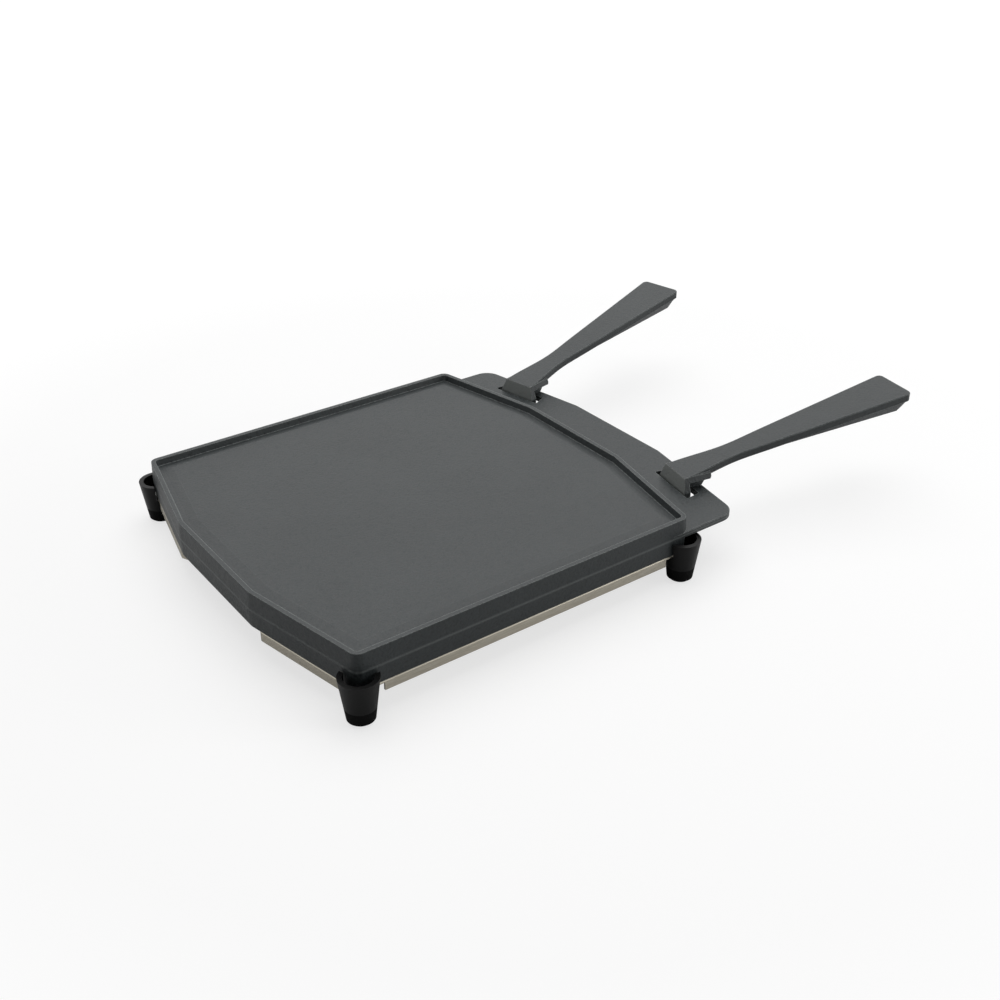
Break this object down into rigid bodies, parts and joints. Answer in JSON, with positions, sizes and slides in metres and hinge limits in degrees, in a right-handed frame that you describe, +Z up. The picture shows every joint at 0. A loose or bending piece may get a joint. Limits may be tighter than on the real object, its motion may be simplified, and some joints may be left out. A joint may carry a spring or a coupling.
{
  "type": "reversible griddle plate",
  "caption": "Reversible cast iron griddle plate, flat on one face and ribbed on the other, with hook-on handles in a slotted flange, resting on a footed steel stand.",
  "frame": {"origin": "on the table, under the middle of the whole object's outline, handles included", "axes": "+Z up, +Y from the plate towards the handles, +X towards the long side nearer the camera"},
  "size_m": [0.3296, 0.5367, 0.0826],
  "materials": {
    "plate_iron": "seasoned, satin",
    "handle_iron": "seasoned, satin",
    "stand_steel": "brushed",
    "foot_plastic": "satin black",
    "pad_rubber": "matt black",
    "fastener_steel": "plain"
  },
  "bodies": {
    "stand": {"stand_frame": "stand_steel", "foot_cup_front_left": "foot_plastic", "foot_cup_front_right": "foot_plastic", "foot_cup_rear_left": "foot_plastic", "foot_cup_rear_right": "foot_plastic", "foot_pad_front_left": "pad_rubber", "foot_pad_front_right": "pad_rubber", "foot_pad_rear_left": "pad_rubber", "foot_pad_rear_right": "pad_rubber", "foot_screws": "fastener_steel", "foot_nuts": "fastener_steel"},
    "plate": {"griddle_plate": "plate_iron"},
    "left_handle": {"handle_left": "handle_iron"},
    "right_handle": {"handle_right": "handle_iron"}
  },
  "joints": [
    {"name": "plate_turn", "type": "hinge", "parent": "stand", "child": "plate", "pos_m": [-0.1718, -0.11103, 0.0483], "axis": [0, -1, 0], "range_deg": [0, 180]},
    {"name": "left_handle_tilt", "type": "hinge", "parent": "plate", "child": "left_handle", "pos_m": [-0.09841, 0.06631, 0.0398], "axis": [0.9813, 0.1925, 0], "range_deg": [0, 45]},
    {"name": "right_handle_tilt", "type": "hinge", "parent": "plate", "child": "right_handle", "pos_m": [0.09841, 0.06631, 0.0398], "axis": [0.9813, -0.1925, 0], "range_deg": [0, 45]}
  ]
}
